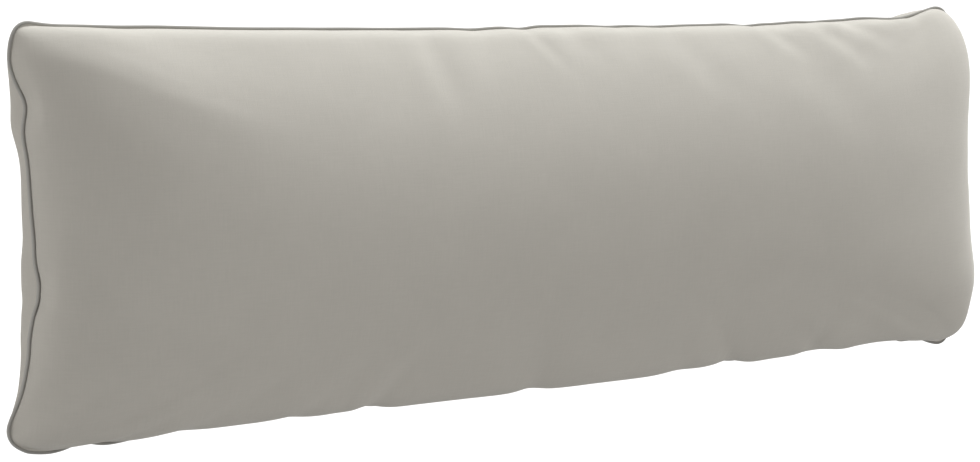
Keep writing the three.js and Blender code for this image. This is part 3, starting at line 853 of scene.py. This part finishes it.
def cloth_material(name, colour, bias=0):
    """Plain-woven upholstery cloth, with its weave turned by the bias."""
    material = bpy.data.materials.new(name)
    material.use_nodes = True
    nodes = Nodes(material)
    shader = nodes.tree.nodes["Principled BSDF"]
    cloth_map = nodes.add("ShaderNodeUVMap", uv_map=CLOTH_MAP)
    turned = nodes.add("ShaderNodeMapping")
    nodes.feed(turned, {"Vector": cloth_map.outputs["UV"], "Rotation": (0, 0, math.radians(bias))})
    place = turned.outputs["Vector"]

    warp_slubs = nodes.noise(place, SLUB_WIDTH, SLUB_LENGTH, SLUB_DETAIL)
    weft_slubs = nodes.noise(place, SLUB_LENGTH, SLUB_WIDTH, SLUB_DETAIL)
    slubs = nodes.math("ADD", warp_slubs, weft_slubs)
    tone = nodes.noise(place, TONE_SIZE, TONE_SIZE, TONE_DETAIL)

    shade = nodes.spread(tone, *SHADE_RANGE)
    for noise in (warp_slubs, weft_slubs):
        shade = nodes.math("MULTIPLY", shade, nodes.spread(noise, *SHADE_RANGE))
    tint = nodes.add("ShaderNodeVectorMath", operation="SCALE")
    nodes.feed(tint, {"Vector": colour, "Scale": shade})
    smoothest = CLOTH_ROUGHNESS - ROUGHNESS_CHANGE
    roughest = CLOTH_ROUGHNESS + ROUGHNESS_CHANGE

    relief = nodes.math("MULTIPLY", weave_height(nodes, place), WEAVE_RELIEF * MM)
    relief = nodes.math("ADD", relief, nodes.math("MULTIPLY", slubs, SLUB_RELIEF * MM))
    bump = nodes.add("ShaderNodeBump")
    nodes.feed(bump, {"Height": relief, "Strength": 1, "Distance": 1})
    nodes.feed(shader, {
        "Base Color": tint.outputs["Vector"],
        "Roughness": nodes.spread(slubs, smoothest, roughest),
        "Specular IOR Level": CLOTH_SPECULAR,
        "Sheen Weight": CLOTH_SHEEN,
        "Sheen Roughness": SHEEN_ROUGHNESS,
        "Normal": bump.outputs["Normal"],
    })
    return material


# The view: the eye from the seam's middle, and the turns from looking straight at the face
EYE = (-2198.3, 364.9, 2955.2)
YAW = 35.79
PITCH = 6.22
ROLL = -0.175
LENS = 105.06
SENSOR = 36


def make_camera(shift):
    """The camera, at the photograph's angle to the face."""
    data = bpy.data.cameras.new("camera")
    data.lens = LENS
    data.sensor_width = SENSOR
    data.sensor_fit = "HORIZONTAL"
    camera = bpy.data.objects.new("camera", data)
    bpy.context.scene.collection.objects.link(camera)
    roll = Matrix.Rotation(math.radians(ROLL), 3, "Z")
    pitch = Matrix.Rotation(math.radians(PITCH), 3, "X")
    yaw = Matrix.Rotation(math.radians(YAW), 3, "Y")
    turn = (roll @ pitch @ yaw).transposed()
    place = Vector(EYE) + Vector(shift) + Vector((0, 0, SEAM_LEVEL))
    camera.matrix_world = Matrix.Translation(place * MM) @ turn.to_4x4()
    bpy.context.scene.camera = camera


# The floor
FLOOR_SIZE = 40000
FLOOR_DROP = 0.3  # under the cushion's flat patch
FLOOR_COLOUR = (0.9, 0.9, 0.9, 1)


def make_floor():
    """A pale floor, which throws no light back at the cushion."""
    mesh = bpy.data.meshes.new("floor")
    half = FLOOR_SIZE / 2 * MM
    corners = [(-half, -half), (half, -half), (half, half), (-half, half)]
    mesh.from_pydata([(x, y, -FLOOR_DROP * MM) for x, y in corners], [], [(0, 1, 2, 3)])
    floor = bpy.data.objects.new("floor", mesh)
    bpy.context.scene.collection.objects.link(floor)
    material = bpy.data.materials.new("pale_floor")
    material.use_nodes = True
    shader = material.node_tree.nodes["Principled BSDF"]
    shader.inputs["Base Color"].default_value = FLOOR_COLOUR
    shader.inputs["Roughness"].default_value = 1
    mesh.materials.append(material)
    floor.visible_diffuse = False
    return floor


# Each light: its direction round the cushion and over the floor, its spread, strength and colour
WHITE = (1, 1, 1)
COOL_WHITE = (0.95, 0.98, 1)
LIGHT_COLUMNS = ("azimuth", "elevation", "spread", "strength", "colour")
LIGHTS = {name: dict(zip(LIGHT_COLUMNS, row)) for name, *row in (
    ("key", 65, 0, 26, 4.3, COOL_WHITE),
    ("right_fill", 0, 30, 60, 1.3, WHITE),
    ("piping_key", 65, 0, 26, 3, COOL_WHITE),
    ("left_fill", 180, 0, 60, 1.1, WHITE),
    ("floor_light", 0, 90, 10, 3.2, WHITE),
)}
SURROUND_COLOUR = (1, 1, 1, 1)
SURROUND_STRENGTH = 0.42


def group_of(name, pieces):
    """A collection of pieces that a light is linked to."""
    group = bpy.data.collections.new(name)
    for piece in pieces:
        group.objects.link(piece)
    return group


def far_light(name, receivers, blockers):
    """A soft light from far away, on its receivers only, with only its blockers in its way."""
    values = LIGHTS[name]
    data = bpy.data.lights.new(name, "SUN")
    data.color = values["colour"]
    data.angle = math.radians(values["spread"])
    data.energy = values["strength"]
    light = bpy.data.objects.new(name, data)
    bpy.context.scene.collection.objects.link(light)
    turn = math.radians(values["azimuth"])
    up = math.radians(values["elevation"])
    place = Vector((math.cos(up) * math.cos(turn), math.cos(up) * math.sin(turn), math.sin(up)))
    light.location = place
    light.rotation_euler = (-place).to_track_quat("-Z", "Y").to_euler()
    light.light_linking.receiver_collection = group_of(name + "_receivers", receivers)
    light.light_linking.blocker_collection = group_of(name + "_blockers", blockers)


def make_world():
    """The even surround."""
    world = bpy.data.worlds.new("studio")
    world.use_nodes = True
    background = world.node_tree.nodes["Background"]
    background.inputs["Color"].default_value = SURROUND_COLOUR
    background.inputs["Strength"].default_value = SURROUND_STRENGTH
    bpy.context.scene.world = world


seam = Seam()
shift = frame_shift(seam)
cover = make_cover(seam, shift)
piping = make_piping(seam, shift)
cover.data.materials.append(cloth_material("cover_cloth", COVER_COLOUR))
# the piping's cloth, darkened below the cover's colour as painted shade
piping.data.materials.append(cloth_material("piping_cloth", PIPING_PAINTED_SHADE_COLOUR, PIPING_BIAS))
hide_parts("cushion")
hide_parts("piping")
for piece in (cover, piping):
    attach(piece, "root")

make_camera(shift)
floor = make_floor()
make_world()
far_light("key", [cover], [cover, piping])
far_light("right_fill", [cover], [cover, piping])
far_light("piping_key", [piping], [cover, piping])
far_light("left_fill", [cover, piping], [cover, piping])
far_light("floor_light", [floor], [floor])
bpy.context.scene.view_settings.view_transform = "Standard"
